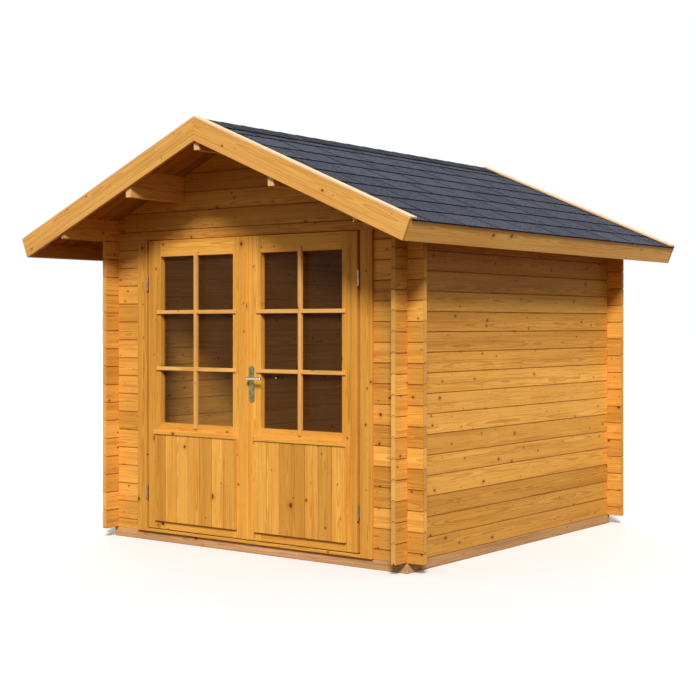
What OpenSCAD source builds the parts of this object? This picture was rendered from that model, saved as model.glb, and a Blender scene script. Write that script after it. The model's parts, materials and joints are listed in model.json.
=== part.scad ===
// Garden shed built as a small log cabin: notched wall logs that cross at the corners,
// a pitched shingle roof with a deep front overhang, and a glazed double door.
// Millimetres, +Z up, front towards -Y, origin on the ground under the middle of the roof.

/* [Wall logs] */
// Thickness of a wall log
log_t = 34; // [28:1:44]
// Height that one course of logs covers
log_h = 115; // [100:1:130]
// Length that the log ends stand out past the crossing wall
log_end = 108; // [80:1:140]
// Chamfer on the edges of a log
log_chamfer = 4; // [2:0.5:6]
// Width of the tongue on top of a log
tongue_w = 12; // [8:1:14]
// Height of the tongue on top of a log
tongue_h = 8; // [5:1:10]

/* [Walls] */
// Width of the walls over their outer faces
wall_w = 2334; // [2200:1:2600]
// Depth of the walls over their outer faces
wall_d = 2384; // [2000:1:2800]
// Courses of logs in a side wall below its wall plate
side_courses = 16; // [15:1:17]
// Height of a wall plate at its outer face
plate_h = 122; // [115:1:135]

/* [Sills and floor] */
// Height of the sills on the ground
sill_h = 58; // [45:1:80]
// Width of the sills
sill_w = 58; // [50:1:80]
// Thickness of the floor boards
floor_t = 19; // [16:1:28]
// Width of a floor joist
joist_w = 45; // [40:1:70]
// Number of floor joists
joist_count = 4; // [2:1:6]
// Movement gap round the floor
floor_gap = 3; // [2:0.5:8]

/* [Roof] */
// Slope of the roof in degrees
roof_slope = 23; // [21:0.5:27]
// Reach of the roof past the front wall
front_overhang = 465; // [300:5:600]
// Reach of the roof past the back wall
rear_overhang = 290; // [200:2:400]
// Reach of the roof boards past the side walls, measured level
eaves_overhang = 322; // [250:2:380]
// Thickness of the roof boards
roof_board_t = 18; // [16:1:22]
// Thickness of a shingle course at its lower edge
shingle_t = 8; // [5:0.5:10]
// Thickness of a shingle course at its upper edge
shingle_thin = 3; // [2:0.5:4]
// Number of shingle courses on each side
shingle_courses = 8; // [6:1:14]
// Length by which the shingles hang past the eaves board
shingle_drip = 10; // [5:1:20]
// Length of the ridge covering down each slope
ridge_cover = 120; // [90:5:160]
// Thickness of the ridge covering
ridge_cover_t = 5; // [4:0.5:8]

/* [Roof edge boards] */
// Width of the bargeboards and eaves boards
edge_board_w = 120; // [100:1:140]
// Thickness of the bargeboards
bargeboard_t = 20; // [16:1:24]
// Thickness of the eaves boards
eaves_board_t = 18; // [16:1:24]
// Width of the cap strips on the bargeboards
cap_strip_w = 60; // [45:1:80]
// Thickness of the cap strips
cap_strip_t = 12; // [8:1:16]
// Distance of the groove on a bargeboard from its lower edge
barge_groove_x = 34; // [24:1:50]
// Width of the groove on a bargeboard
barge_groove_w = 3; // [2:0.5:6]
// Depth of the groove on a bargeboard
barge_groove_d = 2; // [1:0.5:4]

/* [Purlins] */
// Width of a purlin
purlin_w = 42; // [34:1:60]
// Height of a purlin at its middle
purlin_h = 154; // [130:1:175]
// Distance of the side purlins from the ridge
purlin_x = 564; // [480:2:640]

/* [Door frame] */
// Width of the doorway between the cut log ends
doorway_w = 1760; // [1500:2:1800]
// Thickness of the jamb against the log ends
jamb_t = 26; // [20:1:32]
// Width of the casing past the log ends
casing_lap = 57; // [40:1:80]
// Thickness of the casing boards
casing_t = 20; // [16:1:24]
// Depth of the stop behind a door leaf
stop_w = 28; // [24:1:36]
// Height of the stop under the lintel
head_stop_h = 40; // [30:1:60]

/* [Door leaves] */
// Thickness of a door leaf
leaf_t = 40; // [36:1:46]
// Distance of the leaf faces in front of the wall face
leaf_proud = 22; // [20:1:26]
// Gap between a leaf and its jamb, which holds the hinge barrels
hinge_gap = 19.5; // [18:0.5:24]
// Gap between the two leaves
meeting_gap = 7; // [7:0.5:10]
// Gap above and below a leaf
leaf_gap = 6; // [5.5:0.5:9]
// Gap between a leaf and its stop
stop_gap = 5; // [5:0.5:8]
// Width of a stile
stile_w = 108; // [90:1:120]
// Height of the top rail
top_rail_h = 102; // [90:1:140]
// Height of the middle rail
mid_rail_h = 101; // [90:1:130]
// Height of the bottom rail
bottom_rail_h = 81; // [70:1:110]
// Height of the top of the middle rail above the bottom of the leaf
mid_rail_top = 667; // [560:1:760]
// Thickness of the glass
glass_t = 4; // [3:0.5:6]
// Depth of the glass behind the face of the leaf
glass_depth = 30; // [18:1:32]
// Depth of the groove that holds the glass
glass_groove = 10; // [6:1:14]
// Width of the strip on the meeting edge of the right leaf
strip_w = 16; // [12:1:18]
// Thickness of the strip on the meeting edge
strip_t = 8; // [5:0.5:12]
// Thickness of the lower panel
panel_t = 18; // [12:1:20]
// Margin of the lower panel from the sides of the leaf
panel_margin = 70; // [55:1:80]
// Lap of the lower panel over the rails
panel_lap = 28; // [20:1:40]
// Height of the drip strip over the lower panel
drip_h = 28; // [20:1:36]
// Thickness of the drip strip
drip_t = 26; // [22:1:32]

/* [Door hinges] */
// Radius of a hinge barrel
barrel_r = 6; // [5:0.5:7]
// Radius of a hinge pin
pin_r = 3.5; // [2.5:0.5:4]
// Height of a hinge
hinge_h = 89; // [80:1:120]
// Distance of the hinge axis in front of the leaf face
hinge_proud = 2; // [1:0.5:6]
// Height of the lower hinge above the bottom of the leaf
low_hinge_z = 182; // [120:1:260]
// Depth of the upper hinge below the top of the leaf
high_hinge_z = 222; // [180:1:320]
// Radius of the stud that holds a hinge barrel
stud_r = 4; // [3:0.5:5]

/* [Door handle] */
// Width of a handle plate
handle_plate_w = 40; // [32:1:46]
// Height of a handle plate
handle_plate_h = 220; // [180:2:250]
// Thickness of a handle plate
handle_plate_t = 3; // [2:0.5:5]
// Distance of the handle from the meeting edge of its leaf
backset = 40; // [36:1:50]
// Height of the lever above the bottom of the leaf
lever_z = 963; // [850:1:1050]
// Height of the lever above the middle of its plate
lever_rise = 36; // [20:1:60]
// Length of a lever from its axis
lever_len = 118; // [95:1:140]
// Radius of the lever grip
grip_r = 8; // [6:0.5:10]
// Distance of the grip in front of its plate
grip_off = 42; // [36:1:55]
// Radius of the spindle
spindle_r = 6; // [5:0.5:7]

/* [Fits] */
// Open joint between two logs and beside a notch
bed_gap = 0.4; // [0.3:0.1:0.8]
// Gap between pieces that are fixed together
seat_gap = 0.2; // [0.1:0.1:0.4]
// Running gap at the hinge pins and the spindle
run_gap = 0.1; // [0.05:0.05:0.2]

/* [Hidden] */
$fn = 48;

// Plan: the roof is centred on the origin, so the walls stand back by half the difference of its overhangs
wall_y = (front_overhang - rear_overhang) / 2;
front_y = wall_y - wall_d / 2;
back_y = wall_y + wall_d / 2;
roof_front_y = front_y - front_overhang;
roof_back_y = back_y + rear_overhang;
corner_x = wall_w / 2 - log_t / 2;
front_wall_y = front_y + log_t / 2;
back_wall_y = back_y - log_t / 2;
inner_front_y = roof_front_y + bargeboard_t + seat_gap;
inner_back_y = roof_back_y - bargeboard_t - seat_gap;

// Heights of the walls, with the front and back courses half a log above those of the sides
plate_z = sill_h + side_courses * log_h;
plate_course = side_courses + 0.5;
lintel_course = side_courses - 0.5;
sill_top = sill_h - bed_gap;
floor_top = sill_h + floor_t;

// Roof: its plane rests on the outer top edge of the wall plates
apex_z = plate_z + plate_h + wall_w / 2 * tan(roof_slope);
board_len = (wall_w / 2 + eaves_overhang) / cos(roof_slope);
edge_len = board_len + seat_gap + eaves_board_t;
shingle_len = edge_len + shingle_drip;
roof_top = roof_board_t + shingle_t;
edge_low = roof_top - edge_board_w;
shingle_step = shingle_len / shingle_courses;
last_course = floor((apex_z - sill_h) / log_h - 0.5) + 0.5;
cut_reach = wall_w;

// Doorway
head_z = plate_z;
jamb_x = doorway_w / 2 - jamb_t;
casing_x = doorway_w / 2 + casing_lap;
stop_x = jamb_x - stop_w;
leaf_x = jamb_x - hinge_gap;
leaf_low = floor_top + leaf_gap;
leaf_high = head_z - leaf_gap;
leaf_front = front_y - leaf_proud;
leaf_back = leaf_front + leaf_t;
stop_y = leaf_back + stop_gap;
casing_back_y = front_y + log_t + casing_t;
meeting_x = meeting_gap / 2;
rail_low = meeting_x + stile_w;
rail_high = leaf_x - stile_w;
mid_rail_z = leaf_low + mid_rail_top;
mid_rail_low = mid_rail_z - mid_rail_h;
glass_y = leaf_front + glass_depth;
opening_high = leaf_high - top_rail_h;
glass_low = mid_rail_z - glass_groove + seat_gap;
glass_high = opening_high + glass_groove - seat_gap;
panel_low = leaf_low + bottom_rail_h - panel_lap;
panel_high = mid_rail_low + panel_lap;

// Hinges and handle
axis_x = jamb_x - hinge_gap / 2;
axis_y = leaf_front - hinge_proud;
hinge_levels = [leaf_low + low_hinge_z, leaf_high - high_hinge_z - hinge_h];
knuckle_h = hinge_h / 2 - seat_gap;
handle_x = meeting_x + backset;
handle_z = leaf_low + lever_z;
handle_plate_z = handle_z - lever_rise;
plate_front_y = leaf_front - seat_gap - handle_plate_t;
plate_back_y = leaf_back + seat_gap + handle_plate_t;
keyhole_drop = 92;
keyhole_r = 4;
grip_lean = 4;
collar_lip = 3;

honey = "#d99a4b";
amber = "#c8873c";
raw_wood = "#bd8f68";
slate = "#3d4350";
nickel = "#b9b3a4";

// Height of the roof plane over a level distance x from the ridge, n square above the board undersides
function roof_z(x, n) = apex_z + n / cos(roof_slope) - abs(x) * tan(roof_slope);

// Point of the right slope: s down the slope from the ridge, n square above the board undersides
function slope_point(s, n) =
    [s * cos(roof_slope) + n * sin(roof_slope), apex_z + n * cos(roof_slope) - s * sin(roof_slope)];

// Outline of a layer on the right slope, plumb at the ridge and square at the eaves
function slope_layer(n0, n1, s) =
    [[seat_gap / 2, roof_z(seat_gap / 2, n0)], slope_point(s, n0),
     slope_point(s, n1), [seat_gap / 2, roof_z(seat_gap / 2, n1)]];

// Stretches a section in X and Z along Y
module along_y(y0, y1) {
    translate([0, y1, 0])
        rotate([90, 0, 0])
            linear_extrude(y1 - y0)
                children();
}

// Stretches a section in Y and Z along X
module along_x(x0, x1) {
    translate([x0, 0, 0])
        rotate([90, 0, 90])
            linear_extrude(x1 - x0)
                children();
}

// Box between two corners
module block(low, high) {
    translate(low)
        cube(high - low);
}

module mirrored(flip) {
    mirror([flip ? 1 : 0, 0, 0])
        children();
}

// Section of a wall log: chamfered edges, a tongue on top and its groove below
module log_section() {
    face = log_t / 2;
    top = log_h - bed_gap;
    groove = tongue_w / 2 + bed_gap;
    edge = face - log_chamfer;
    polygon([
        [-edge, 0], [-groove, 0], [-groove, tongue_h], [groove, tongue_h], [groove, 0], [edge, 0],
        [face, log_chamfer], [face, top - log_chamfer], [edge, top],
        [tongue_w / 2, top], [tongue_w / 2, top + tongue_h],
        [-tongue_w / 2, top + tongue_h], [-tongue_w / 2, top],
        [-edge, top], [-face, top - log_chamfer], [-face, log_chamfer]
    ]);
}

// Quarter-height notches above and below a log, centred on the crossing at the origin
module corner_notch() {
    half = log_t / 2 + seat_gap;
    reach = log_t;
    quarter = log_h / 4 + bed_gap / 2;
    block([-half, -half - reach, -reach], [half, half + reach, quarter]);
    block([-half, -half - reach, log_h - quarter], [half, half + reach, log_h + plate_h]);
}

// Log of a side wall at x = 0, notched where it crosses the front and back walls
module side_log(course) {
    z = sill_h + course * log_h;
    difference() {
        translate([0, 0, z])
            along_y(front_y - log_end, back_y + log_end)
                log_section();
        for (y = [front_wall_y, back_wall_y])
            translate([0, y, z])
                rotate([0, 0, 90])
                    corner_notch();
    }
}

// Log of a front or back wall at y = 0, notched where it crosses the side walls
module cross_log(course, x0, x1) {
    z = sill_h + course * log_h;
    difference() {
        translate([0, 0, z])
            along_x(x0, x1)
                log_section();
        for (x = [-corner_x, corner_x])
            translate([x, 0, z])
                corner_notch();
        block([-cut_reach, -log_t, sill_h - log_h], [cut_reach, log_t, sill_h]);
    }
}

// Everything under the roof boards
module under_roof() {
    along_y(-log_t, log_t)
        polygon([
            [-cut_reach, 0], [cut_reach, 0], [cut_reach, roof_z(cut_reach, -seat_gap)],
            [0, roof_z(0, -seat_gap)], [-cut_reach, roof_z(cut_reach, -seat_gap)]
        ]);
}

// Slots that let the purlins through a gable
module purlin_slots() {
    half = purlin_w / 2 + seat_gap;
    for (x = [-purlin_x, 0, purlin_x])
        block([x - half, -log_t, purlin_low(x) - seat_gap], [x + half, log_t, apex_z]);
}

function purlin_low(x) = roof_z(x, 0) - purlin_h;

// Gable logs cut to the roof slope, at y = 0
module gable_logs() {
    reach = wall_w / 2 + log_end;
    difference() {
        intersection() {
            for (course = [plate_course : last_course])
                cross_log(course, -reach, reach);
            under_roof();
        }
        purlin_slots();
    }
}

module side_wall(x) {
    color(honey)
        for (course = [0 : side_courses - 1])
            translate([x, 0, 0])
                side_log(course);
}

module left_wall() { side_wall(-corner_x); }

module right_wall() { side_wall(corner_x); }

module back_wall() {
    reach = wall_w / 2 + log_end;
    color(honey)
        translate([0, back_wall_y, 0])
            for (course = [-0.5 : lintel_course])
                cross_log(course, -reach, reach);
}

module front_wall_side(flip) {
    color(honey)
        mirrored(flip)
            translate([0, front_wall_y, 0])
                for (course = [-0.5 : lintel_course - 1])
                    cross_log(course, doorway_w / 2, wall_w / 2 + log_end);
}

module front_wall_left() { front_wall_side(true); }

module front_wall_right() { front_wall_side(false); }

// Log over the doorway, cut up to the head of the door
module door_lintel() {
    reach = wall_w / 2 + log_end;
    color(honey)
        difference() {
            translate([0, front_wall_y, 0])
                cross_log(lintel_course, -reach, reach);
            block([-doorway_w / 2, front_y - log_t, head_z - log_h],
                  [doorway_w / 2, front_y + 2 * log_t, head_z]);
        }
}

module front_gable() {
    color(honey)
        translate([0, front_wall_y, 0])
            gable_logs();
}

module back_gable() {
    color(honey)
        translate([0, back_wall_y, 0])
            gable_logs();
}

// Top log of a side wall, bevelled to the roof and run out under both overhangs
module wall_plate(flip) {
    face = log_t / 2;
    groove = tongue_w / 2 + bed_gap;
    edge = face - log_chamfer;
    color(honey)
        mirrored(flip)
            difference() {
                along_y(inner_front_y, inner_back_y)
                    translate([corner_x, plate_z])
                        polygon([
                            [-edge, 0], [-groove, 0], [-groove, tongue_h], [groove, tongue_h], [groove, 0],
                            [edge, 0], [face, log_chamfer],
                            [face, roof_z(corner_x + face, -seat_gap) - plate_z],
                            [-face, roof_z(corner_x - face, -seat_gap) - plate_z], [-face, log_chamfer]
                        ]);
                for (y = [front_wall_y, back_wall_y])
                    translate([corner_x, y, plate_z])
                        rotate([0, 0, 90])
                            corner_notch();
            }
}

module left_wall_plate() { wall_plate(true); }

module right_wall_plate() { wall_plate(false); }

module cross_sill(y) {
    color(raw_wood)
        block([-wall_w / 2, y, 0], [wall_w / 2, y + sill_w, sill_top]);
}

module front_sill() { cross_sill(front_y); }

module back_sill() { cross_sill(back_y - sill_w); }

module side_sill(flip) {
    color(raw_wood)
        mirrored(flip)
            block([wall_w / 2 - sill_w, front_y + sill_w + seat_gap, 0],
                  [wall_w / 2, back_y - sill_w - seat_gap, sill_top]);
}

module left_sill() { side_sill(true); }

module right_sill() { side_sill(false); }

module floor_joists() {
    pitch = (wall_w - 2 * sill_w) / (joist_count + 1);
    color(raw_wood)
        for (i = [1 : joist_count])
            translate([-wall_w / 2 + sill_w + i * pitch, 0, 0])
                block([-joist_w / 2, front_y + sill_w + seat_gap, 0],
                      [joist_w / 2, back_y - sill_w - seat_gap, sill_top]);
}

module floor() {
    side = wall_w / 2 - log_t - floor_gap;
    color(raw_wood)
        block([-side, front_y + log_t + floor_gap, sill_top + seat_gap],
              [side, back_y - log_t - floor_gap, floor_top]);
}

module ridge_purlin() {
    half = purlin_w / 2;
    color(amber)
        along_y(inner_front_y, inner_back_y)
            polygon([
                [-half, purlin_low(0)], [half, purlin_low(0)], [half, roof_z(half, -seat_gap)],
                [0, roof_z(0, -seat_gap)], [-half, roof_z(half, -seat_gap)]
            ]);
}

module side_purlin(flip) {
    low = purlin_x - purlin_w / 2;
    high = purlin_x + purlin_w / 2;
    color(amber)
        mirrored(flip)
            along_y(inner_front_y, inner_back_y)
                polygon([
                    [low, purlin_low(purlin_x)], [high, purlin_low(purlin_x)],
                    [high, roof_z(high, -seat_gap)], [low, roof_z(low, -seat_gap)]
                ]);
}

module left_purlin() { side_purlin(true); }

module right_purlin() { side_purlin(false); }

module roof_boards(flip) {
    color(amber)
        mirrored(flip)
            along_y(inner_front_y, inner_back_y)
                polygon(slope_layer(0, roof_board_t, board_len));
}

module left_roof_boards() { roof_boards(true); }

module right_roof_boards() { roof_boards(false); }

// Overlapping courses, each thicker towards its lower edge
module shingles(flip) {
    low = roof_board_t + seat_gap;
    thin = roof_board_t + shingle_thin;
    start = seat_gap / 2;
    courses = [
        for (i = [shingle_courses : -1 : 1])
            each [slope_point(i * shingle_step, roof_top),
                  i > 1 ? slope_point((i - 1) * shingle_step, thin) : [start, roof_z(start, thin)]]
    ];
    color(slate)
        mirrored(flip)
            along_y(inner_front_y, inner_back_y)
                polygon(concat([[start, roof_z(start, low)], slope_point(shingle_len, low)], courses));
}

module left_shingles() { shingles(true); }

module right_shingles() { shingles(false); }

module ridge_covering() {
    low = roof_top + seat_gap;
    high = low + ridge_cover_t;
    inner = slope_point(ridge_cover, low);
    outer = slope_point(ridge_cover, high);
    color(slate)
        along_y(roof_front_y + cap_strip_w + seat_gap, roof_back_y - cap_strip_w - seat_gap)
            polygon([
                [-inner.x, inner.y], [0, roof_z(0, low)], inner,
                outer, [0, roof_z(0, high)], [-outer.x, outer.y]
            ]);
}

// Pair of bargeboards with a plumb mitre at the ridge and a fine groove along their outer face
module bargeboards(y, face_y) {
    low = edge_low + barge_groove_x;
    high = low + barge_groove_w;
    over = edge_len + edge_board_w;
    color(honey)
        for (flip = [false, true])
            mirrored(flip)
                difference() {
                    along_y(y, y + bargeboard_t)
                        polygon(slope_layer(edge_low, roof_top, edge_len));
                    along_y(face_y - barge_groove_d, face_y + barge_groove_d)
                        polygon([
                            slope_point(-over, low), slope_point(over, low),
                            slope_point(over, high), slope_point(-over, high)
                        ]);
                }
}

module front_bargeboards() { bargeboards(roof_front_y, roof_front_y); }

module rear_bargeboards() { bargeboards(roof_back_y - bargeboard_t, roof_back_y); }

// Pair of strips on top of the bargeboards, which hold down the edge of the shingles
module cap_strips(y) {
    low = roof_top + seat_gap;
    color(honey)
        for (flip = [false, true])
            mirrored(flip)
                along_y(y, y + cap_strip_w)
                    polygon(slope_layer(low, low + cap_strip_t, edge_len));
}

module front_cap_strips() { cap_strips(roof_front_y); }

module rear_cap_strips() { cap_strips(roof_back_y - cap_strip_w); }

// Board across the lower ends of the roof boards, square to the slope
module eaves_board(flip) {
    start = board_len + seat_gap;
    color(honey)
        mirrored(flip)
            along_y(inner_front_y, inner_back_y)
                polygon([
                    slope_point(start, edge_low), slope_point(edge_len, edge_low),
                    slope_point(edge_len, roof_board_t), slope_point(start, roof_board_t)
                ]);
}

module left_eaves_board() { eaves_board(true); }

module right_eaves_board() { eaves_board(false); }

// Door post that grips the log ends between a casing outside and a casing with a stop inside
module jamb(flip) {
    web_x = doorway_w / 2 - seat_gap;
    casing_y = front_y - seat_gap;
    inside_y = front_y + log_t + seat_gap;
    top = head_z - seat_gap;
    color(honey)
        mirrored(flip) {
            block([jamb_x, front_y - casing_t, sill_h], [casing_x, casing_y, top]);
            block([jamb_x, front_y - casing_t, sill_h], [web_x, front_y + log_t, top]);
            block([jamb_x, casing_y, floor_top + seat_gap], [web_x, casing_back_y, top]);
            block([stop_x, stop_y, floor_top + seat_gap], [web_x, casing_back_y, top]);
            block([jamb_x, inside_y, floor_top + seat_gap], [casing_x, casing_back_y, top]);
        }
}

module left_jamb() { jamb(true); }

module right_jamb() { jamb(false); }

// Stop batten under the lintel
module head_stop() {
    reach = stop_x - seat_gap;
    color(honey)
        block([-reach, stop_y, head_z - head_stop_h], [reach, casing_back_y, head_z - seat_gap]);
}

module threshold() {
    reach = jamb_x - seat_gap;
    color(honey)
        block([-reach, front_y - casing_t, sill_h], [reach, front_y + log_t, floor_top]);
}

// Lower hinge barrels with their pins, screwed to the jambs by a stud
module jamb_hinge_halves() {
    stud_z = knuckle_h / 2;
    color(nickel)
        for (flip = [false, true], z = hinge_levels)
            mirrored(flip)
                translate([axis_x, axis_y, z]) {
                    cylinder(h = knuckle_h, r = barrel_r);
                    cylinder(h = hinge_h - barrel_r, r = pin_r);
                    translate([0, 0, stud_z])
                        rotate([0, 90, 0])
                            cylinder(h = jamb_x - axis_x - seat_gap, r = stud_r);
                }
}

// Upper hinge barrels, bored for the pins and screwed to a leaf by a stud
module leaf_hinge_halves(flip) {
    bore_r = pin_r + run_gap;
    bore_h = hinge_h - barrel_r + seat_gap;
    start = hinge_h - knuckle_h;
    stud_z = hinge_h - knuckle_h / 2;
    stud_y = hinge_proud + stud_r;
    color(nickel)
        mirrored(flip)
            for (z = hinge_levels)
                translate([axis_x, axis_y, z])
                    difference() {
                        union() {
                            translate([0, 0, start])
                                cylinder(h = knuckle_h, r = barrel_r);
                            translate([0, stud_y, stud_z])
                                rotate([0, -90, 0])
                                    cylinder(h = axis_x - leaf_x - seat_gap, r = stud_r);
                        }
                        cylinder(h = bore_h, r = bore_r);
                    }
}

module left_leaf_hinge_halves() { leaf_hinge_halves(true); }

module right_leaf_hinge_halves() { leaf_hinge_halves(false); }

// Stiles and rails of a leaf, grooved for the glass, with the drip strip over the lower panel
// and, on the leaf with the handle, the strip along the meeting edge
module leaf_frame(flip, handle) {
    face = leaf_front - seat_gap;
    color(honey)
        mirrored(flip) {
            difference() {
                union() {
                    block([meeting_x, leaf_front, leaf_low], [rail_low, leaf_back, leaf_high]);
                    block([rail_high, leaf_front, leaf_low], [leaf_x, leaf_back, leaf_high]);
                    leaf_rail(opening_high, leaf_high);
                    leaf_rail(mid_rail_low, mid_rail_z);
                    leaf_rail(leaf_low, leaf_low + bottom_rail_h);
                }
                pane(seat_gap);
                if (handle)
                    spindle_hole(spindle_r + run_gap);
            }
            block([meeting_x + panel_margin, face - drip_t, panel_high + seat_gap],
                  [leaf_x - panel_margin, face, panel_high + drip_h]);
            if (handle)
                block([meeting_x, face - strip_t, leaf_low], [meeting_x + strip_w, face, leaf_high]);
        }
}

module leaf_rail(low, high) {
    block([rail_low + seat_gap, leaf_front, low], [rail_high - seat_gap, leaf_back, high]);
}

// Sheet of glass, grown on every side by a gap
module pane(gap) {
    block([rail_low - glass_groove + seat_gap - gap, glass_y - gap, glass_low - gap],
          [rail_high + glass_groove - seat_gap + gap, glass_y + glass_t + gap, glass_high + gap]);
}

module spindle_hole(r) {
    translate([handle_x, leaf_front - leaf_t, handle_z])
        rotate([-90, 0, 0])
            cylinder(h = 3 * leaf_t, r = r);
}

module left_leaf_frame() { leaf_frame(true, false); }

module right_leaf_frame() { leaf_frame(false, true); }

// Lower panel laid on the face of a leaf
module leaf_panel(flip) {
    color(honey)
        mirrored(flip)
            block([meeting_x + panel_margin, leaf_front - seat_gap - panel_t, panel_low],
                  [leaf_x - panel_margin, leaf_front - seat_gap, panel_high]);
}

module left_leaf_panel() { leaf_panel(true); }

module right_leaf_panel() { leaf_panel(false); }

module left_leaf_glass() {
    color("#4a4038", 0.4)
        mirrored(true)
            pane(0);
}

module right_leaf_glass() {
    color("#4a4038", 0.4)
        pane(0);
}

// Round-ended plate with a keyhole, its back at y = 0 and its face towards -Y
module handle_plate() {
    end_r = handle_plate_w / 2;
    straight = handle_plate_h / 2 - end_r;
    difference() {
        rotate([90, 0, 0]) {
            translate([-end_r, -straight, 0])
                cube([handle_plate_w, 2 * straight, handle_plate_t]);
            for (side = [-1, 1])
                translate([0, side * straight, 0])
                    cylinder(h = handle_plate_t, r = end_r);
        }
        translate([0, handle_plate_t, lever_rise - keyhole_drop])
            rotate([90, 0, 0]) {
                cylinder(h = 3 * handle_plate_t, r = keyhole_r);
                translate([-keyhole_r / 2, -2 * keyhole_r, 0])
                    cube([keyhole_r, 2 * keyhole_r, 3 * handle_plate_t]);
            }
    }
}

// Plates on both faces of the right leaf
module handle_plates() {
    color(nickel)
        difference() {
            union() {
                translate([handle_x, leaf_front - seat_gap, handle_plate_z])
                    handle_plate();
                translate([handle_x, plate_back_y, handle_plate_z])
                    handle_plate();
            }
            spindle_hole(spindle_r + run_gap);
        }
}

// Lever grip: a neck that turns into a slim round bar with a ball end
module lever_grip(side) {
    neck_y = side * grip_off;
    translate([0, neck_y, 0]) {
        sphere(r = grip_r);
        rotate([0, 90, side * grip_lean]) {
            cylinder(h = lever_len - grip_r, r = grip_r);
            translate([0, 0, lever_len - grip_r])
                sphere(r = grip_r);
        }
    }
}

// Two levers on one spindle through the leaf
module lever_handle() {
    collar_r = spindle_r + collar_lip;
    color(nickel)
        translate([handle_x, 0, handle_z]) {
            translate([0, plate_front_y - grip_off, 0])
                rotate([-90, 0, 0])
                    cylinder(h = plate_back_y - plate_front_y + 2 * grip_off, r = spindle_r);
            translate([0, plate_front_y - seat_gap, 0])
                rotate([90, 0, 0])
                    cylinder(h = grip_off - seat_gap, r = collar_r);
            translate([0, plate_back_y + seat_gap, 0])
                rotate([-90, 0, 0])
                    cylinder(h = grip_off - seat_gap, r = collar_r);
            translate([0, plate_front_y, 0])
                lever_grip(-1);
            translate([0, plate_back_y, 0])
                lever_grip(1);
        }
}

front_sill();
back_sill();
left_sill();
right_sill();
floor_joists();
floor();
left_wall();
right_wall();
back_wall();
front_wall_left();
front_wall_right();
door_lintel();
front_gable();
back_gable();
left_wall_plate();
right_wall_plate();
ridge_purlin();
left_purlin();
right_purlin();
left_roof_boards();
right_roof_boards();
left_shingles();
right_shingles();
ridge_covering();
front_bargeboards();
rear_bargeboards();
front_cap_strips();
rear_cap_strips();
left_eaves_board();
right_eaves_board();
left_jamb();
right_jamb();
head_stop();
threshold();
jamb_hinge_halves();
left_leaf_frame();
left_leaf_panel();
left_leaf_glass();
left_leaf_hinge_halves();
right_leaf_frame();
right_leaf_panel();
right_leaf_glass();
right_leaf_hinge_halves();
handle_plates();
lever_handle();
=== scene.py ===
"""Looks of a small log-built garden shed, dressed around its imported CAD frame."""

import json
import math
import random

import bmesh
import bpy
from mathutils import Matrix, Vector

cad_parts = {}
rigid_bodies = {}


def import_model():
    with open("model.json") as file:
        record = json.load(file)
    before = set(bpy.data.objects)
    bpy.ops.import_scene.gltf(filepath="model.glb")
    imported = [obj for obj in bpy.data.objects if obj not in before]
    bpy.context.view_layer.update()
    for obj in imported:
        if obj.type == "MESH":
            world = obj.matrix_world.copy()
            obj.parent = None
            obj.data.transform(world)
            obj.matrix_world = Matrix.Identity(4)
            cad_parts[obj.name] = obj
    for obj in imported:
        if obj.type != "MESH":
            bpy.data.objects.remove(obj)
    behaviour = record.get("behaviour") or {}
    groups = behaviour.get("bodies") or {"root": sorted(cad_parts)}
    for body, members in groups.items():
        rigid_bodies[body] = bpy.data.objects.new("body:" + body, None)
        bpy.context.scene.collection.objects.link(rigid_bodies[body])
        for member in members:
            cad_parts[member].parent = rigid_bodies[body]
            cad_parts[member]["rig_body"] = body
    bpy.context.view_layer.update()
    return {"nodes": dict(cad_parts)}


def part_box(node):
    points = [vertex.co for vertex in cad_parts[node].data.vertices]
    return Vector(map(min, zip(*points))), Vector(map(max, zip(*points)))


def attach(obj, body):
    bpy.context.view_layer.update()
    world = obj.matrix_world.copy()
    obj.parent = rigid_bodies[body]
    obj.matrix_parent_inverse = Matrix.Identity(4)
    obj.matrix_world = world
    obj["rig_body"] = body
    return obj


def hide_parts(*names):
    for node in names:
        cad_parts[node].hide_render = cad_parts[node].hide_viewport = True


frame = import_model()

# Sizes in metres

MM = 0.001
ROOF_SLOPE = math.radians(23)
SLOPE_COS = math.cos(ROOF_SLOPE)
SLOPE_SIN = math.sin(ROOF_SLOPE)
WALL_HALF = 1.167
PLATE_TOP = 2.020
RIDGE_Z = PLATE_TOP + WALL_HALF * math.tan(ROOF_SLOPE)

# Arithmetic on node sockets


class Value:
    """Output of a node that takes part in plain arithmetic."""

    def __init__(self, nodes, socket):
        self.nodes = nodes
        self.socket = socket

    def other(self, name):
        return Value(self.nodes, self.socket.node.outputs[name])

    def math(self, operation, first, second):
        return self.nodes.node("ShaderNodeMath", {"operation": operation}, {0: first, 1: second})

    def __add__(self, other):
        return self.math("ADD", self, other)

    def __radd__(self, other):
        return self.math("ADD", other, self)

    def __sub__(self, other):
        return self.math("SUBTRACT", self, other)

    def __rsub__(self, other):
        return self.math("SUBTRACT", other, self)

    def __mul__(self, other):
        return self.math("MULTIPLY", self, other)

    def __rmul__(self, other):
        return self.math("MULTIPLY", other, self)

    def __truediv__(self, other):
        return self.math("DIVIDE", self, other)

    def __rtruediv__(self, other):
        return self.math("DIVIDE", other, self)

    def __pow__(self, other):
        return self.math("POWER", self, other)

    def __rpow__(self, other):
        return self.math("POWER", other, self)

    def fraction(self):
        return self.math("FRACT", self, 0.0)

    def highest(self, other):
        return self.math("MAXIMUM", self, other)

    def step(self, low, high):
        """Smooth rise from 0 at low to 1 at high, or a fall where low is the larger."""
        settings = {"interpolation_type": "SMOOTHSTEP", "clamp": True}
        sockets = {0: self, 1: low, 2: high, 3: 0.0, 4: 1.0}
        return self.nodes.node("ShaderNodeMapRange", settings, sockets)


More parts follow.
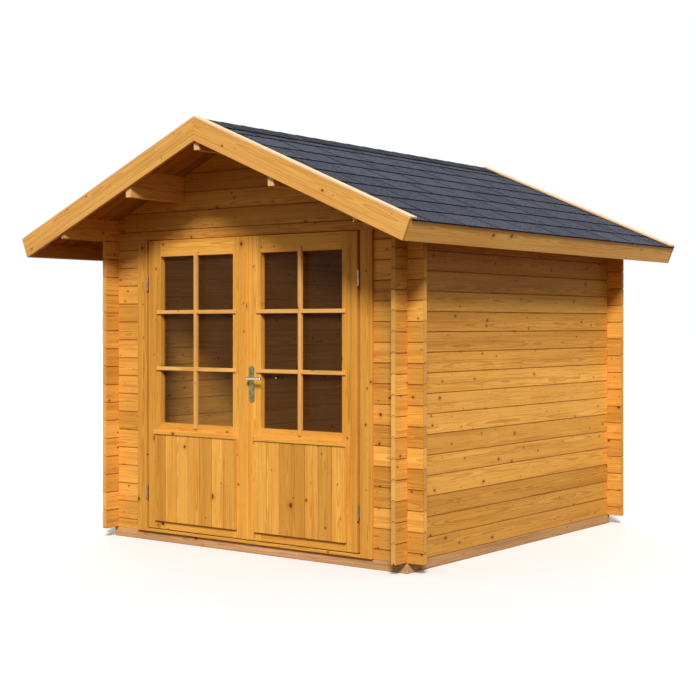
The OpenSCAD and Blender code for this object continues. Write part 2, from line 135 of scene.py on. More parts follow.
class Nodes:
    """Nodes of one tree, each given its settings first and its sockets after."""

    def __init__(self, tree):
        self.tree = tree

    def node(self, kind, settings, sockets, output=0):
        made = self.tree.nodes.new(kind)
        for name, value in settings.items():
            setattr(made, name, value)
        for key, value in sockets.items():
            if isinstance(value, Value):
                self.tree.links.new(value.socket, made.inputs[key])
            else:
                made.inputs[key].default_value = value
        return Value(self, made.outputs[output])

    def seen_straight(self):
        """1 for camera, glossy and transmission rays, 0 for the rays that light other things."""
        path = self.node("ShaderNodeLightPath", {}, {}, "Is Camera Ray")
        return path.highest(path.other("Is Glossy Ray")).highest(path.other("Is Transmission Ray"))


class Finish(Nodes):
    """A material under construction around one Principled shader."""

    def __init__(self, name):
        self.material = bpy.data.materials.new(name)
        self.material.use_nodes = True
        super().__init__(self.material.node_tree)
        self.shader = self.tree.nodes["Principled BSDF"]

    def attribute(self, name, output):
        return self.node("ShaderNodeAttribute", {"attribute_name": name}, {}, output)

    def place(self):
        return self.node("ShaderNodeTexCoord", {}, {}, "Object")

    def split(self, vector):
        across = self.node("ShaderNodeSeparateXYZ", {}, {0: vector})
        return across, across.other("Y"), across.other("Z")

    def join(self, x, y, z):
        return self.node("ShaderNodeCombineXYZ", {}, {0: x, 1: y, 2: z})

    def noise(self, vector, scale, detail=2.0, rough=0.5):
        sockets = {"Vector": vector, "Scale": scale, "Detail": detail, "Roughness": rough}
        return self.node("ShaderNodeTexNoise", {}, sockets)

    def cells(self, vector, scale, dimensions="3D"):
        settings = {"voronoi_dimensions": dimensions}
        return self.node("ShaderNodeTexVoronoi", settings, {"Vector": vector, "Scale": scale})

    def grey(self, level):
        return self.node("ShaderNodeCombineColor", {}, {0: level, 1: level, 2: level})

    def red_of(self, colour):
        return self.node("ShaderNodeSeparateColor", {}, {0: colour})

    def blend(self, factor, first, second, kind="MIX"):
        settings = {"data_type": "RGBA", "blend_type": kind}
        return self.node("ShaderNodeMix", settings, {0: factor, 6: first, 7: second}, 2)

    def paint(self, name, value):
        if isinstance(value, Value):
            self.tree.links.new(value.socket, self.shader.inputs[name])
        else:
            self.shader.inputs[name].default_value = value

    def relief(self, height, strength, distance):
        sockets = {"Strength": strength, "Distance": distance, "Height": height}
        self.paint("Normal", self.node("ShaderNodeBump", {}, sockets))


def rgb(red, green, blue):
    return (red, green, blue, 1.0)


# Finishes

RINGS_PER_M = 290.0
KNOT_BROWN = rgb(0.130, 0.030, 0.002)
KNOT_LEAST = 0.017
KNOT_MORE = 0.058
GROOVE_SHADE = 0.45
WOOD_SHINE = 0.12
FELT_SHINE = 0.1
GLASS_SHINE = 0.3


def spruce(name, pale, deep, line, end, knots, sheen_rough, spread):
    """Stained spruce: growth rings, fibres, knots, sawn ends of their own colour, and chamfers darkened
    as painted shade in the grooves between pieces.
    """
    wood = Finish(name)
    groove = rgb(*(GROOVE_SHADE * part for part in line[:3]))
    grain = wood.attribute("grain", "Vector")
    tone = wood.attribute("tone", "Fac")
    sawn_end = wood.attribute("sawn_end", "Fac")
    chamfer = wood.attribute("chamfer", "Fac")
    along, across, depth = wood.split(grain)

    def drawn_out(lengthwise, crosswise, detail=2.0, rough=0.5):
        place = wood.join(along * lengthwise, across * crosswise, depth * crosswise)
        return wood.noise(place, 1.0, detail, rough)

    knot = wood.cells(wood.join(along * 0.8, across + tone * 9.0, 0.0), knots, "2D")
    chance = wood.red_of(knot.other("Color"))
    ragged = wood.noise(wood.join(along * 60.0, across * 60.0, tone), 1.0, 2.0)
    knot = knot + (ragged - 0.5) * 0.035
    knot_size = (KNOT_LEAST + chance ** 3.0 * KNOT_MORE) * (1.0 - sawn_end)
    knot_core = knot.step(knot_size, knot_size * 0.65)
    knot_ring = knot.step(knot_size * 2.8, knot_size * 0.9)

    sway = drawn_out(0.9, 4.0, 3.0)
    radius = (across * across + depth * depth) ** 0.5
    rings = (radius + sway * 0.034 + knot_ring * 0.010) * RINGS_PER_M
    late = rings.fraction()
    ring_line = late.step(0.42, 0.92) * late.step(1.0, 0.94)

    fibre = drawn_out(2.2, 130.0, 3.0, 0.6)
    fleck = drawn_out(14.0, 210.0)
    streak = drawn_out(0.7, 24.0)
    cloud = drawn_out(1.3, 5.0)

    tint = wood.blend(cloud.step(0.25, 0.75) * 0.5 + (1.0 - tone) * 0.5, pale, deep)
    tint = wood.blend(streak.step(0.45, 0.80) * 0.45, tint, line)
    tint = wood.blend(ring_line * 0.46, tint, line)
    tint = wood.blend(fibre.step(0.50, 0.68) * 0.40, tint, line)
    tint = wood.blend(fleck.step(0.60, 0.70) * 0.42, tint, line)
    tint = wood.blend(sawn_end * 0.60, tint, end)
    tint = wood.blend(knot_ring * 0.40, tint, line)
    tint = wood.blend(knot_core * 0.93, tint, KNOT_BROWN)
    tint = wood.blend(1.0, tint, wood.grey(1.0 - spread / 2 + tone * spread), "MULTIPLY")
    # Painted shade: chamfer faces are darkened towards the groove colour, the shade in the grooves
    # between logs and boards and along eased edges
    tint = wood.blend(chamfer, tint, groove)
    wood.paint("Base Color", tint)
    wood.paint("Roughness", sheen_rough + fibre * 0.16 + sawn_end * 0.2 - knot_core * 0.1)
    wood.relief(fibre * 0.5 + ring_line * 0.6 - knot_core * 0.8, 0.25, 0.0015)
    wood.paint("Specular IOR Level", WOOD_SHINE)
    return wood.material


def slate_shingle(name, base):
    """Mineral granules on a bitumen felt, each tab a little lighter or darker, with painted shade on the
    cut edges.
    """
    felt = Finish(name)
    place = felt.place()
    tone = felt.attribute("tone", "Fac")
    shaded_lower_edge = felt.attribute("sawn_end", "Fac")
    shaded_side_edge = felt.attribute("chamfer", "Fac")
    granule = felt.cells(place, 420.0)
    coarse = felt.noise(place, 110.0, 4.0, 0.8)
    glint = felt.noise(place, 130.0, 3.0, 0.7)
    stain = felt.noise(place, 3.2, 3.0)
    speck = felt.red_of(granule.other("Color"))
    tint = felt.blend(speck, rgb(0.020, 0.023, 0.036), rgb(0.165, 0.178, 0.250))
    tint = felt.blend(coarse.step(0.43, 0.57) * 0.90, tint, rgb(0.009, 0.011, 0.019))
    tint = felt.blend(glint.step(0.57, 0.66) * 0.75, tint, rgb(0.330, 0.345, 0.430))
    # Painted shade: the lower edges and sides of the tabs and the eased edges of the ridge caps are
    # darkened
    edges = (1.0 - shaded_lower_edge * 0.8) * (1.0 - shaded_side_edge * 0.9)
    shade = (base + tone * 0.26 + stain * 0.20) * edges
    tint = felt.blend(1.0, tint, felt.grey(shade), "MULTIPLY")
    felt.paint("Base Color", tint)
    felt.paint("Roughness", 0.82 + coarse * 0.16)
    felt.relief(speck * 0.6 + coarse * 0.5, 0.5, 0.002)
    felt.paint("Specular IOR Level", FELT_SHINE)
    return felt.material


def slot_shade_felt():
    """Black under-felt that shows in the slots between the tabs, painted black as the shade in the
    slots.
    """
    felt = Finish("slot_shade_felt")
    grit = felt.noise(felt.place(), 160.0, 3.0, 0.7)
    felt.paint("Base Color", felt.blend(grit, rgb(0.010, 0.011, 0.014), rgb(0.030, 0.032, 0.038)))
    felt.paint("Roughness", 0.75 + grit * 0.2)
    felt.relief(grit, 0.4, 0.001)
    return felt.material


def plated_metal(name, bright, dull, base_rough):
    """Plated metal with fine brushing and a few duller patches laid at random."""
    metal = Finish(name)
    x, y, z = metal.split(metal.place())
    brush = metal.noise(metal.join(x * 900.0, y * 900.0, z * 60.0), 1.0, 3.0)
    patch = metal.noise(metal.place(), 38.0, 3.0)
    metal.paint("Base Color", metal.blend(patch.step(0.35, 0.75), bright, dull))
    metal.paint("Metallic", 1.0)
    metal.paint("Roughness", base_rough + brush * 0.14 + patch * 0.08)
    metal.relief(brush, 0.08, 0.0004)
    return metal.material


def window_glass():
    """Mostly see-through panes with a brown tint and faint smears."""
    pane = Finish("window_glass")
    smear = pane.noise(pane.place(), 9.0, 4.0, 0.65)
    pane.paint("Base Color", pane.blend(smear, rgb(0.190, 0.080, 0.012), rgb(0.290, 0.130, 0.035)))
    pane.paint("Roughness", 0.02 + smear.step(0.45, 0.8) * 0.04)
    pane.paint("Alpha", 0.09 + smear * 0.08)
    pane.paint("Specular IOR Level", GLASS_SHINE)
    return pane.material


log_spruce = spruce(
    "log_spruce",
    pale=rgb(0.90, 0.470, 0.094),
    deep=rgb(0.78, 0.350, 0.053),
    line=rgb(0.42, 0.135, 0.016),
    end=rgb(0.80, 0.440, 0.120),
    knots=7.5,
    sheen_rough=0.46,
    spread=0.32,
)
ROOF_TIMBER = {
    "pale": rgb(0.88, 0.500, 0.136),
    "deep": rgb(0.78, 0.388, 0.080),
    "line": rgb(0.50, 0.185, 0.030),
    "sheen_rough": 0.44,
    "spread": 0.12,
}
roof_spruce = spruce("roof_spruce", end=rgb(0.84, 0.560, 0.320), knots=4.0, **ROOF_TIMBER)
# Its sawn ends are dark: painted shade for the dark line at the ends of the boards
edge_spruce = spruce("edge_spruce", end=rgb(0.62, 0.270, 0.040), knots=6.5, **ROOF_TIMBER)
cap_spruce = spruce(
    "cap_spruce",
    pale=rgb(0.95, 0.660, 0.380),
    deep=rgb(0.90, 0.560, 0.280),
    line=rgb(0.60, 0.280, 0.090),
    end=rgb(0.88, 0.620, 0.400),
    knots=3.0,
    sheen_rough=0.44,
    spread=0.10,
)
# Darker copy of the roof wood for the roof boards: painted shade under the roof
shaded_soffit_spruce = spruce(
    "shaded_soffit_spruce",
    pale=rgb(0.51, 0.198, 0.030),
    deep=rgb(0.40, 0.136, 0.018),
    line=rgb(0.24, 0.065, 0.007),
    end=rgb(0.60, 0.300, 0.100),
    knots=4.0,
    sheen_rough=0.50,
    spread=0.20,
)
door_spruce = spruce(
    "door_spruce",
    pale=rgb(0.92, 0.475, 0.084),
    deep=rgb(0.80, 0.355, 0.048),
    line=rgb(0.44, 0.140, 0.014),
    end=rgb(0.80, 0.450, 0.150),
    knots=5.5,
    sheen_rough=0.40,
    spread=0.22,
)
panel_spruce = spruce(
    "panel_spruce",
    pale=rgb(0.84, 0.435, 0.082),
    deep=rgb(0.73, 0.315, 0.043),
    line=rgb(0.44, 0.140, 0.014),
    end=rgb(0.80, 0.450, 0.150),
    knots=5.0,
    sheen_rough=0.42,
    spread=0.32,
)
bar_spruce = spruce(
    "bar_spruce",
    pale=rgb(0.92, 0.510, 0.150),
    deep=rgb(0.82, 0.405, 0.095),
    line=rgb(0.50, 0.180, 0.030),
    end=rgb(0.84, 0.500, 0.200),
    knots=5.5,
    sheen_rough=0.40,
    spread=0.10,
)
sill_pine = spruce(
    "sill_pine",
    pale=rgb(0.76, 0.410, 0.190),
    deep=rgb(0.52, 0.290, 0.105),
    line=rgb(0.29, 0.120, 0.036),
    end=rgb(0.60, 0.350, 0.160),
    knots=5.0,
    sheen_rough=0.62,
    spread=0.24,
)
slate = slate_shingle("slate_shingle", 0.52)
# Darker copy of the slate for the ridge caps: painted shade along the crest
shaded_ridge_slate = slate_shingle("shaded_ridge_slate", 0.18)
# Black felt in the slots between the tabs: painted shade
bitumen = slot_shade_felt()
zinc = plated_metal("zinc_plate", rgb(0.34, 0.25, 0.16), rgb(0.22, 0.15, 0.09), 0.30)
# Satin nickel in dark olive colours: painted reflection of dark surroundings, in both its bright and
# dull colours
painted_reflection_nickel = plated_metal("satin_nickel", rgb(0.27, 0.25, 0.14), rgb(0.12, 0.115, 0.045), 0.22)
bright_nickel = plated_metal("bright_nickel", rgb(0.70, 0.66, 0.57), rgb(0.56, 0.52, 0.42), 0.12)
glass = window_glass()

# Meshes

MERGE_DISTANCE = 0.00002
FLAT_ANGLE = math.radians(1)
SHARP_ANGLE = math.radians(25)
SQUARE_CUT = 0.99
LEAST_LOG_END = 0.002

# Along the grain, across it and into the depth of a piece
AXES = {
    "x": (Vector((1, 0, 0)), Vector((0, 0, 1)), Vector((0, 1, 0))),
    "y": (Vector((0, 1, 0)), Vector((0, 0, 1)), Vector((1, 0, 0))),
    "z": (Vector((0, 0, 1)), Vector((1, 0, 0)), Vector((0, 1, 0))),
    "floor": (Vector((1, 0, 0)), Vector((0, 1, 0)), Vector((0, 0, 1))),
}


def slope_axes(side, flat):
    """Grain down a slope: across it is square to the slope, or level for boards that lie flat."""
    down = Vector((side * SLOPE_COS, 0, -SLOPE_SIN))
    square = Vector((side * SLOPE_SIN, 0, SLOPE_COS))
    level = Vector((0, 1, 0))
    return (down, level, square) if flat else (down, square, level)


def axes_for(kind, low, high):
    size = high - low
    side = 1 if low.x + high.x > 0 else -1
    if kind == "slope":
        return slope_axes(side, False)
    if kind == "slope_flat":
        return slope_axes(side, True)
    if kind == "longest":
        kind = "xyz"[max(range(3), key=lambda i: size[i])]
    return AXES[kind]


def node_shape(name):
    """Merged copy of a CAD node's mesh, with its flat faces made whole."""
    shape = bmesh.new()
    shape.from_mesh(frame["nodes"][name].data)
    bmesh.ops.remove_doubles(shape, verts=shape.verts, dist=MERGE_DISTANCE)
    bmesh.ops.dissolve_limit(shape, angle_limit=FLAT_ANGLE, verts=shape.verts, edges=shape.edges)
    return shape


def bevel(shape, edges, width, segments):
    bmesh.ops.bevel(shape, geom=edges, offset=width, offset_type="OFFSET", segments=segments,
                    profile=0.5, affect="EDGES", clamp_overlap=False)


def ease_edges(shape, width, segments):
    """Rounds the outer edges that are long enough to take it."""
    least = 3 * width
    short = {v for e in shape.edges if e.calc_length() < least for v in e.verts}
    sharp = [
        e
        for e in shape.edges
        if e.is_manifold
        and e.is_convex
        and e.calc_face_angle(0) > SHARP_ANGLE
        and not any(v in short for v in e.verts)
    ]
    bevel(shape, sharp, width, segments)


def chamfer_ends(shape, axis, width):
    """Takes the saw edge off the logs' ends, tongue and groove too, so that their joints show there."""
    cuts = [f for f in shape.faces if abs(f.normal[axis]) > SQUARE_CUT]
    ends = [f for f in cuts if f.calc_area() > LEAST_LOG_END]
    rims = [(v, math.copysign(width, f.normal[axis])) for f in ends for v in f.verts]
    bmesh.ops.inset_individual(shape, faces=ends, thickness=width, use_even_offset=True)
    for v, back in rims:
        v.co[axis] -= back


def prism_shape(outline, depth):
    """Solid between an outline of points and the same outline moved by a depth vector."""
    shape = bmesh.new()
    near = [shape.verts.new(p) for p in outline]
    far = [shape.verts.new(Vector(p) + Vector(depth)) for p in outline]
    shape.faces.new(near)
    shape.faces.new(reversed(far))
    count = len(outline)
    for i in range(count):
        j = (i + 1) % count
        shape.faces.new((near[j], near[i], far[i], far[j]))
    bmesh.ops.recalc_face_normals(shape, faces=shape.faces)
    return shape


def finished(shape, name):
    mesh = bpy.data.meshes.new(name)
    shape.to_mesh(mesh)
    shape.free()
    return mesh


def solids_of(mesh):
    """Groups of vertex numbers that hang together."""
    leader = list(range(len(mesh.vertices)))

    def find(i):
        while leader[i] != i:
            leader[i] = leader[leader[i]]
            i = leader[i]
        return i

    for e in mesh.edges:
        a, b = (find(i) for i in e.vertices)
        if a != b:
            leader[max(a, b)] = min(a, b)
    groups = {}
    for i in range(len(leader)):
        groups.setdefault(find(i), []).append(i)
    return list(groups.values())


def keep_attribute(mesh, name, kind, domain, values):
    stored = mesh.attributes.new(name, kind, domain)
    for place, value in zip(stored.data, values):
        if kind == "FLOAT_VECTOR":
            place.vector = value
        else:
            place.value = value


# How squarely a face looks along a grain axis where it counts as an end, a flat face or a side
END_FACING = 0.85
FLAT_FACING = 0.915
SIDE_FACING = 0.93

# Where a piece was sawn from its trunk
TRUNK_REACH = 40.0
HEART_SHIFT = 0.045
HEART_DEPTH = (0.030, 0.075)

# Painted shade on the eased edges and in the grooves between pieces
WOOD_EDGE_SHADE = 0.2


def mark_grain(mesh, kind, seed, groove=WOOD_EDGE_SHADE, side=0.0):
    """Gives each solid its own piece of timber: grain place, tone, sawn ends, and the strength of the
    painted shade on its chamfers and, where asked, its sides.
    """
    draw = random.Random(seed)
    grain = [(0.0, 0.0, 0.0)] * len(mesh.vertices)
    tone = [0.0] * len(mesh.vertices)
    frames = {}
    for group in solids_of(mesh):
        points = [mesh.vertices[i].co for i in group]
        low = Vector([min(p[k] for p in points) for k in range(3)])
        high = Vector([max(p[k] for p in points) for k in range(3)])
        along, across, depth = axes_for(kind, low, high)
        middle = (low + high) / 2
        start = draw.uniform(0, TRUNK_REACH)
        heart = draw.uniform(-HEART_SHIFT, HEART_SHIFT)
        behind = draw.choice((-1, 1)) * draw.uniform(*HEART_DEPTH)
        shade = draw.random()
        for i in group:
            reach = mesh.vertices[i].co - middle
            grain[i] = (reach.dot(along) + start, reach.dot(across) + heart, reach.dot(depth) + behind)
            tone[i] = shade
            frames[i] = (along, across, depth)
    sawn_end = []
    chamfer = []
    for face in mesh.polygons:
        facing = [abs(face.normal.dot(axis)) for axis in frames[face.vertices[0]]]
        sawn_end.append(1.0 if facing[0] > END_FACING else 0.0)
        if max(facing) < FLAT_FACING:
            chamfer.append(groove)
        else:
            chamfer.append(side if facing[1] > SIDE_FACING else 0.0)
    keep_attribute(mesh, "grain", "FLOAT_VECTOR", "POINT", grain)
    keep_attribute(mesh, "tone", "FLOAT", "POINT", tone)
    keep_attribute(mesh, "sawn_end", "FLOAT", "FACE", sawn_end)
    keep_attribute(mesh, "chamfer", "FLOAT", "FACE", chamfer)
    return mesh


def piece(name, mesh, material, body, slot, *stands_for):
    made = bpy.data.objects.new(name, mesh)
    bpy.context.scene.collection.objects.link(made)
    mesh.materials.clear()
    mesh.materials.append(material)
    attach(made, body)
    if stands_for:
        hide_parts(*stands_for)


# Rows of like pieces


def row_tree():
    """Geometry nodes that set out copies of a piece in rows, with a seeded wander."""
    tree = bpy.data.node_groups.new("rows_of_pieces", "GeometryNodeTree")
    ask = tree.interface.new_socket
    ask(name="Piece", in_out="INPUT", socket_type="NodeSocketGeometry")
    ask(name="Count", in_out="INPUT", socket_type="NodeSocketInt")
    ask(name="In a Row", in_out="INPUT", socket_type="NodeSocketInt")
    for name in ("Start", "Step", "Row Step", "Stagger", "Wander"):
        ask(name=name, in_out="INPUT", socket_type="NodeSocketVector")
    ask(name="Seed", in_out="INPUT", socket_type="NodeSocketInt")
    ask(name="Finish", in_out="INPUT", socket_type="NodeSocketMaterial")
    ask(name="Rows", in_out="OUTPUT", socket_type="NodeSocketGeometry")

    rows = Nodes(tree)

    def vectors(operation, sockets):
        return rows.node("ShaderNodeVectorMath", {"operation": operation}, sockets)

    def moved(place, step, times):
        """Place moved by so many steps."""
        return vectors("ADD", {0: place, 1: vectors("SCALE", {0: step, "Scale": times})})

    given = {socket.name: Value(rows, socket) for socket in tree.nodes.new("NodeGroupInput").outputs}
    index = rows.node("GeometryNodeInputIndex", {}, {})
    column = index.math("MODULO", index, given["In a Row"])
    row = index.math("FLOOR", index / given["In a Row"], 0.0)
    odd = index.math("MODULO", row, 2.0)
    draw = {0: (-1, -1, -1), 1: (1, 1, 1), "ID": index, "Seed": given["Seed"]}
    chance = rows.node("FunctionNodeRandomValue", {"data_type": "FLOAT_VECTOR"}, draw)
    place = moved(given["Start"], given["Step"], column)
    place = moved(place, given["Row Step"], row)
    place = moved(place, given["Stagger"], odd)
    place = vectors("ADD", {0: place, 1: vectors("MULTIPLY", {0: chance, 1: given["Wander"]})})
    points = rows.node("GeometryNodePoints", {}, {"Count": given["Count"], "Position": place})
    sockets = {"Points": points, "Instance": given["Piece"]}
    copies = rows.node("GeometryNodeInstanceOnPoints", {}, sockets)
    real = rows.node("GeometryNodeRealizeInstances", {}, {0: copies})
    dressed = rows.node("GeometryNodeSetMaterial", {}, {"Geometry": real, "Material": given["Finish"]})
    tree.links.new(dressed.socket, tree.nodes.new("NodeGroupOutput").inputs[0])
    return tree


ROWS = row_tree()


def rows_of(name, shape, material, **inputs):
    """Plain mesh of a shape's copies in rows."""
    made = bpy.data.objects.new(name, finished(shape, name))
    bpy.context.scene.collection.objects.link(made)
    rows = made.modifiers.new("rows", "NODES")
    rows.node_group = ROWS
    names = {s.name: s.identifier for s in ROWS.interface.items_tree if s.in_out == "INPUT"}
    for key, value in inputs.items():
        rows[names[key.replace("_", " ")]] = value
    rows[names["Finish"]] = material
    seen = made.evaluated_get(bpy.context.evaluated_depsgraph_get())
    mesh = bpy.data.meshes.new_from_object(seen)
    bpy.data.objects.remove(made)
    mesh.name = name
    return mesh


def trim(mesh, point, outward):
    """Cuts a mesh off past a plane and closes the cuts."""
    shape = bmesh.new()
    shape.from_mesh(mesh)
    parts = shape.verts[:] + shape.edges[:] + shape.faces[:]
    cut = bmesh.ops.bisect_plane(shape, geom=parts, plane_co=point, plane_no=outward, clear_outer=True)
    rim = [e for e in cut["geom_cut"] if isinstance(e, bmesh.types.BMEdge)]
    bmesh.ops.contextual_create(shape, geom=rim)
    bmesh.ops.holes_fill(shape, edges=[e for e in shape.edges if e.is_boundary])
    shape.to_mesh(mesh)
    shape.free()


# Timber that keeps its CAD shape, with eased edges

LOG_END_CHAMFER = 0.0025
# Painted shade in the joints between the logs
LOG_JOINT_SHADE = 0.45
EDGE_SEGMENTS = 2
TIMBER_SEED = 100

# Node, grain, finish, slot and width of the eased edges in mm
TIMBER = (
    ("left_wall", "y", log_spruce, "log_wood", 1.2),
    ("right_wall", "y", log_spruce, "log_wood", 1.2),
    ("back_wall", "x", log_spruce, "log_wood", 1.2),
    ("front_wall_left", "x", log_spruce, "log_wood", 1.2),
    ("front_wall_right", "x", log_spruce, "log_wood", 1.2),
    ("door_lintel", "x", log_spruce, "log_wood", 1.2),
    ("front_gable", "x", log_spruce, "log_wood", 1.2),
    ("back_gable", "x", log_spruce, "log_wood", 1.2),
    ("left_wall_plate", "y", log_spruce, "log_wood", 1.5),
    ("right_wall_plate", "y", log_spruce, "log_wood", 1.5),
    ("front_sill", "x", sill_pine, "raw_wood", 3.0),
    ("back_sill", "x", sill_pine, "raw_wood", 3.0),
    ("left_sill", "y", sill_pine, "raw_wood", 3.0),
    ("right_sill", "y", sill_pine, "raw_wood", 3.0),
    ("floor_joists", "y", sill_pine, "raw_wood", 2.0),
    ("ridge_purlin", "y", roof_spruce, "roof_wood", 3.0),
    ("left_purlin", "y", roof_spruce, "roof_wood", 3.0),
    ("right_purlin", "y", roof_spruce, "roof_wood", 3.0),
    ("front_bargeboards", "slope", edge_spruce, "roof_wood", 2.0),
    ("rear_bargeboards", "slope", edge_spruce, "roof_wood", 2.0),
    ("front_cap_strips", "slope_flat", cap_spruce, "roof_wood", 2.0),
    ("rear_cap_strips", "slope_flat", cap_spruce, "roof_wood", 2.0),
    ("left_eaves_board", "y", edge_spruce, "roof_wood", 2.0),
    ("right_eaves_board", "y", edge_spruce, "roof_wood", 2.0),
    ("left_jamb", "z", door_spruce, "door_wood", 2.0),
    ("right_jamb", "z", door_spruce, "door_wood", 2.0),
    ("head_stop", "x", door_spruce, "door_wood", 2.0),
    ("threshold", "x", door_spruce, "door_wood", 2.5),
    ("left_leaf_frame", "longest", door_spruce, "door_wood", 2.0),
    ("right_leaf_frame", "longest", door_spruce, "door_wood", 2.0),
)


def body_of(node):
    return frame["nodes"][node]["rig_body"]


def dress_timber():
    for seed, (node, kind, material, slot, edge) in enumerate(TIMBER, TIMBER_SEED):
        shape = node_shape(node)
        groove = WOOD_EDGE_SHADE
        if material is log_spruce:
            groove = LOG_JOINT_SHADE
            chamfer_ends(shape, "xy".index(kind), LOG_END_CHAMFER)
        ease_edges(shape, edge * MM, EDGE_SEGMENTS)
        mesh = mark_grain(finished(shape, node + "_timber"), kind, seed, groove)
        piece(node + "_timber", mesh, material, body_of(node), slot, node)


# Boards

BOARD_GAP = 0.0006
LONG_EDGE = 0.3
SAME_PLACE = 1e-6

# Node, count, axis across the boards, grain, finish, slot, chamfer in mm, painted shade in the joints,
# seed
BOARDS = (
    ("left_roof_boards", 34, 1, "slope_flat", shaded_soffit_spruce, "roof_wood", 3.0, 0.75, 11),
    ("right_roof_boards", 34, 1, "slope_flat", shaded_soffit_spruce, "roof_wood", 3.0, 0.75, 12),
    ("floor", 25, 1, "floor", sill_pine, "raw_wood", 2.0, 0.6, 13),
    ("left_leaf_panel", 7, 0, "z", panel_spruce, "door_wood", 3.0, 0.38, 14),
    ("right_leaf_panel", 7, 0, "z", panel_spruce, "door_wood", 3.0, 0.38, 15),
)


def lay_boards(node, count, axis, kind, material, slot, chamfer, groove, seed):
    """Row of chamfered boards in the place of one CAD slab."""
    low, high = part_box(node)
    start = low[axis]
    width = high[axis] - start
    pitch = width / count
    squeeze = (pitch - BOARD_GAP) / width
    shape = node_shape(node)
    for v in shape.verts:
        v.co[axis] = start + (v.co[axis] - start) * squeeze

    def runs_long(edge):
        first, last = (v.co for v in edge.verts)
        return abs((first - last)[axis]) < SAME_PLACE and edge.calc_length() > LONG_EDGE

    bevel(shape, [e for e in shape.edges if runs_long(e)], chamfer * MM, 1)
    step = [0.0, 0.0, 0.0]
    step[axis] = pitch
    name = node + "_boards"
    mesh = rows_of(name, shape, material, Count=count, In_a_Row=count, Step=step, Seed=seed)
    mark_grain(mesh, kind, seed, groove)
    piece(name, mesh, material, body_of(node), slot, node)


# Shingles: heights are square above the underside of the roof boards

ROOF_BOARD_T = 0.018
ROOF_TOP = 0.026
SHINGLE_COURSES = 8
TAB_W = 0.333
TAB_SLOT = 0.014
TAB_LAP = 0.040
TAB_FOOT_UNDER = 0.0216
TAB_HEAD_UNDER = 0.0192
TAB_HEAD_TOP = 0.0201
TAB_EASE = 0.0012
TAB_WANDER = 0.004
# Painted shade on the tabs' sides and eased edges
TAB_EDGE_SHADE = 1.0
SPARE_TABS = 2
RIDGE_GAP = 0.0002
FELT_TOP = 0.019
FELT_SEAT = 0.0002
FELT_FROM_RIDGE = 0.006
FELT_FROM_EAVES = 0.002


def on_slope(side, down, above, y):
    """Point down a slope from the ridge and square above the underside of the roof boards."""
    x = down * SLOPE_COS + above * SLOPE_SIN
    return Vector((side * x, y, RIDGE_Z + above * SLOPE_COS - down * SLOPE_SIN))


def shingle_tab(side, step):
    """Tapered tab with its lower edge at the ridge line, to be moved down the slope."""
    head = -step - TAB_LAP
    corners = ((0.0, TAB_FOOT_UNDER), (0.0, ROOF_TOP), (head, TAB_HEAD_TOP), (head, TAB_HEAD_UNDER))
    ridge = on_slope(side, 0.0, 0.0, 0.0)
    outline = [on_slope(side, down, above, 0.0) - ridge for down, above in corners]
    shape = prism_shape(outline, (0, TAB_W - TAB_SLOT, 0))
    ease_edges(shape, TAB_EASE, 1)
    return shape


def under_felt(side, length, low_y, high_y):
    """Thin sheet that closes the slots between the tabs."""
    head = FELT_FROM_RIDGE
    foot = length - FELT_FROM_EAVES
    under = ROOF_BOARD_T + FELT_SEAT
    corners = ((head, under), (foot, under), (foot, FELT_TOP), (head, FELT_TOP))
    outline = [on_slope(side, down, above, low_y) for down, above in corners]
    return prism_shape(outline, (0, high_y - low_y, 0))


def shingle_slope(node, side, seed):
    """Courses of staggered tabs down one slope, cut off at the gables and the ridge."""
    low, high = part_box(node)
    reach = high.x if side > 0 else -low.x
    length = 1.0 / SLOPE_COS * reach - ROOF_TOP * math.tan(ROOF_SLOPE)
    step = length / SHINGLE_COURSES
    across = math.ceil((high.y - low.y) / TAB_W) + SPARE_TABS
    down = on_slope(side, 1.0, 0.0, 0.0) - on_slope(side, 0.0, 0.0, 0.0)
    mesh = rows_of(
        node + "_tabs",
        shingle_tab(side, step),
        slate,
        Count=across * SHINGLE_COURSES,
        In_a_Row=across,
        Start=on_slope(side, step, 0.0, low.y - TAB_W),
        Step=(0, TAB_W, 0),
        Row_Step=down * step,
        Stagger=(0, TAB_W / 2, 0),
        Wander=(0, TAB_WANDER, 0),
        Seed=seed,
    )
    trim(mesh, (0, low.y, 0), (0, -1, 0))
    trim(mesh, (0, high.y, 0), (0, 1, 0))
    trim(mesh, (side * RIDGE_GAP, 0, 0), (-side, 0, 0))
    mark_grain(mesh, "slope_flat", seed, TAB_EDGE_SHADE, TAB_EDGE_SHADE)
    felt = finished(under_felt(side, length, low.y, high.y), node + "_felt")
    piece(node + "_tabs", mesh, slate, "shed", "shingle", node)
    piece(node + "_felt", felt, bitumen, "shed", "shingle")


# Ridge caps

CAP_REACH = 0.120
CAP_LEN = 0.230
CAP_SHOWN = 0.168
CAP_T = 0.0020
CAP_SEAT = 0.0003
CAP_LIFT = 0.0029
CAP_EASE = 0.0006
CAP_WANDER = 0.002
# Painted shade on the caps' eased edges
CAP_EDGE_SHADE = 0.6
CAP_PLACE_SEED = 5
CAP_TONE_SEED = 61


def fold(above, y):
    """Point on the ridge line of a layer that lies square above both slopes."""
    return Vector((0, y, RIDGE_Z + above / SLOPE_COS))


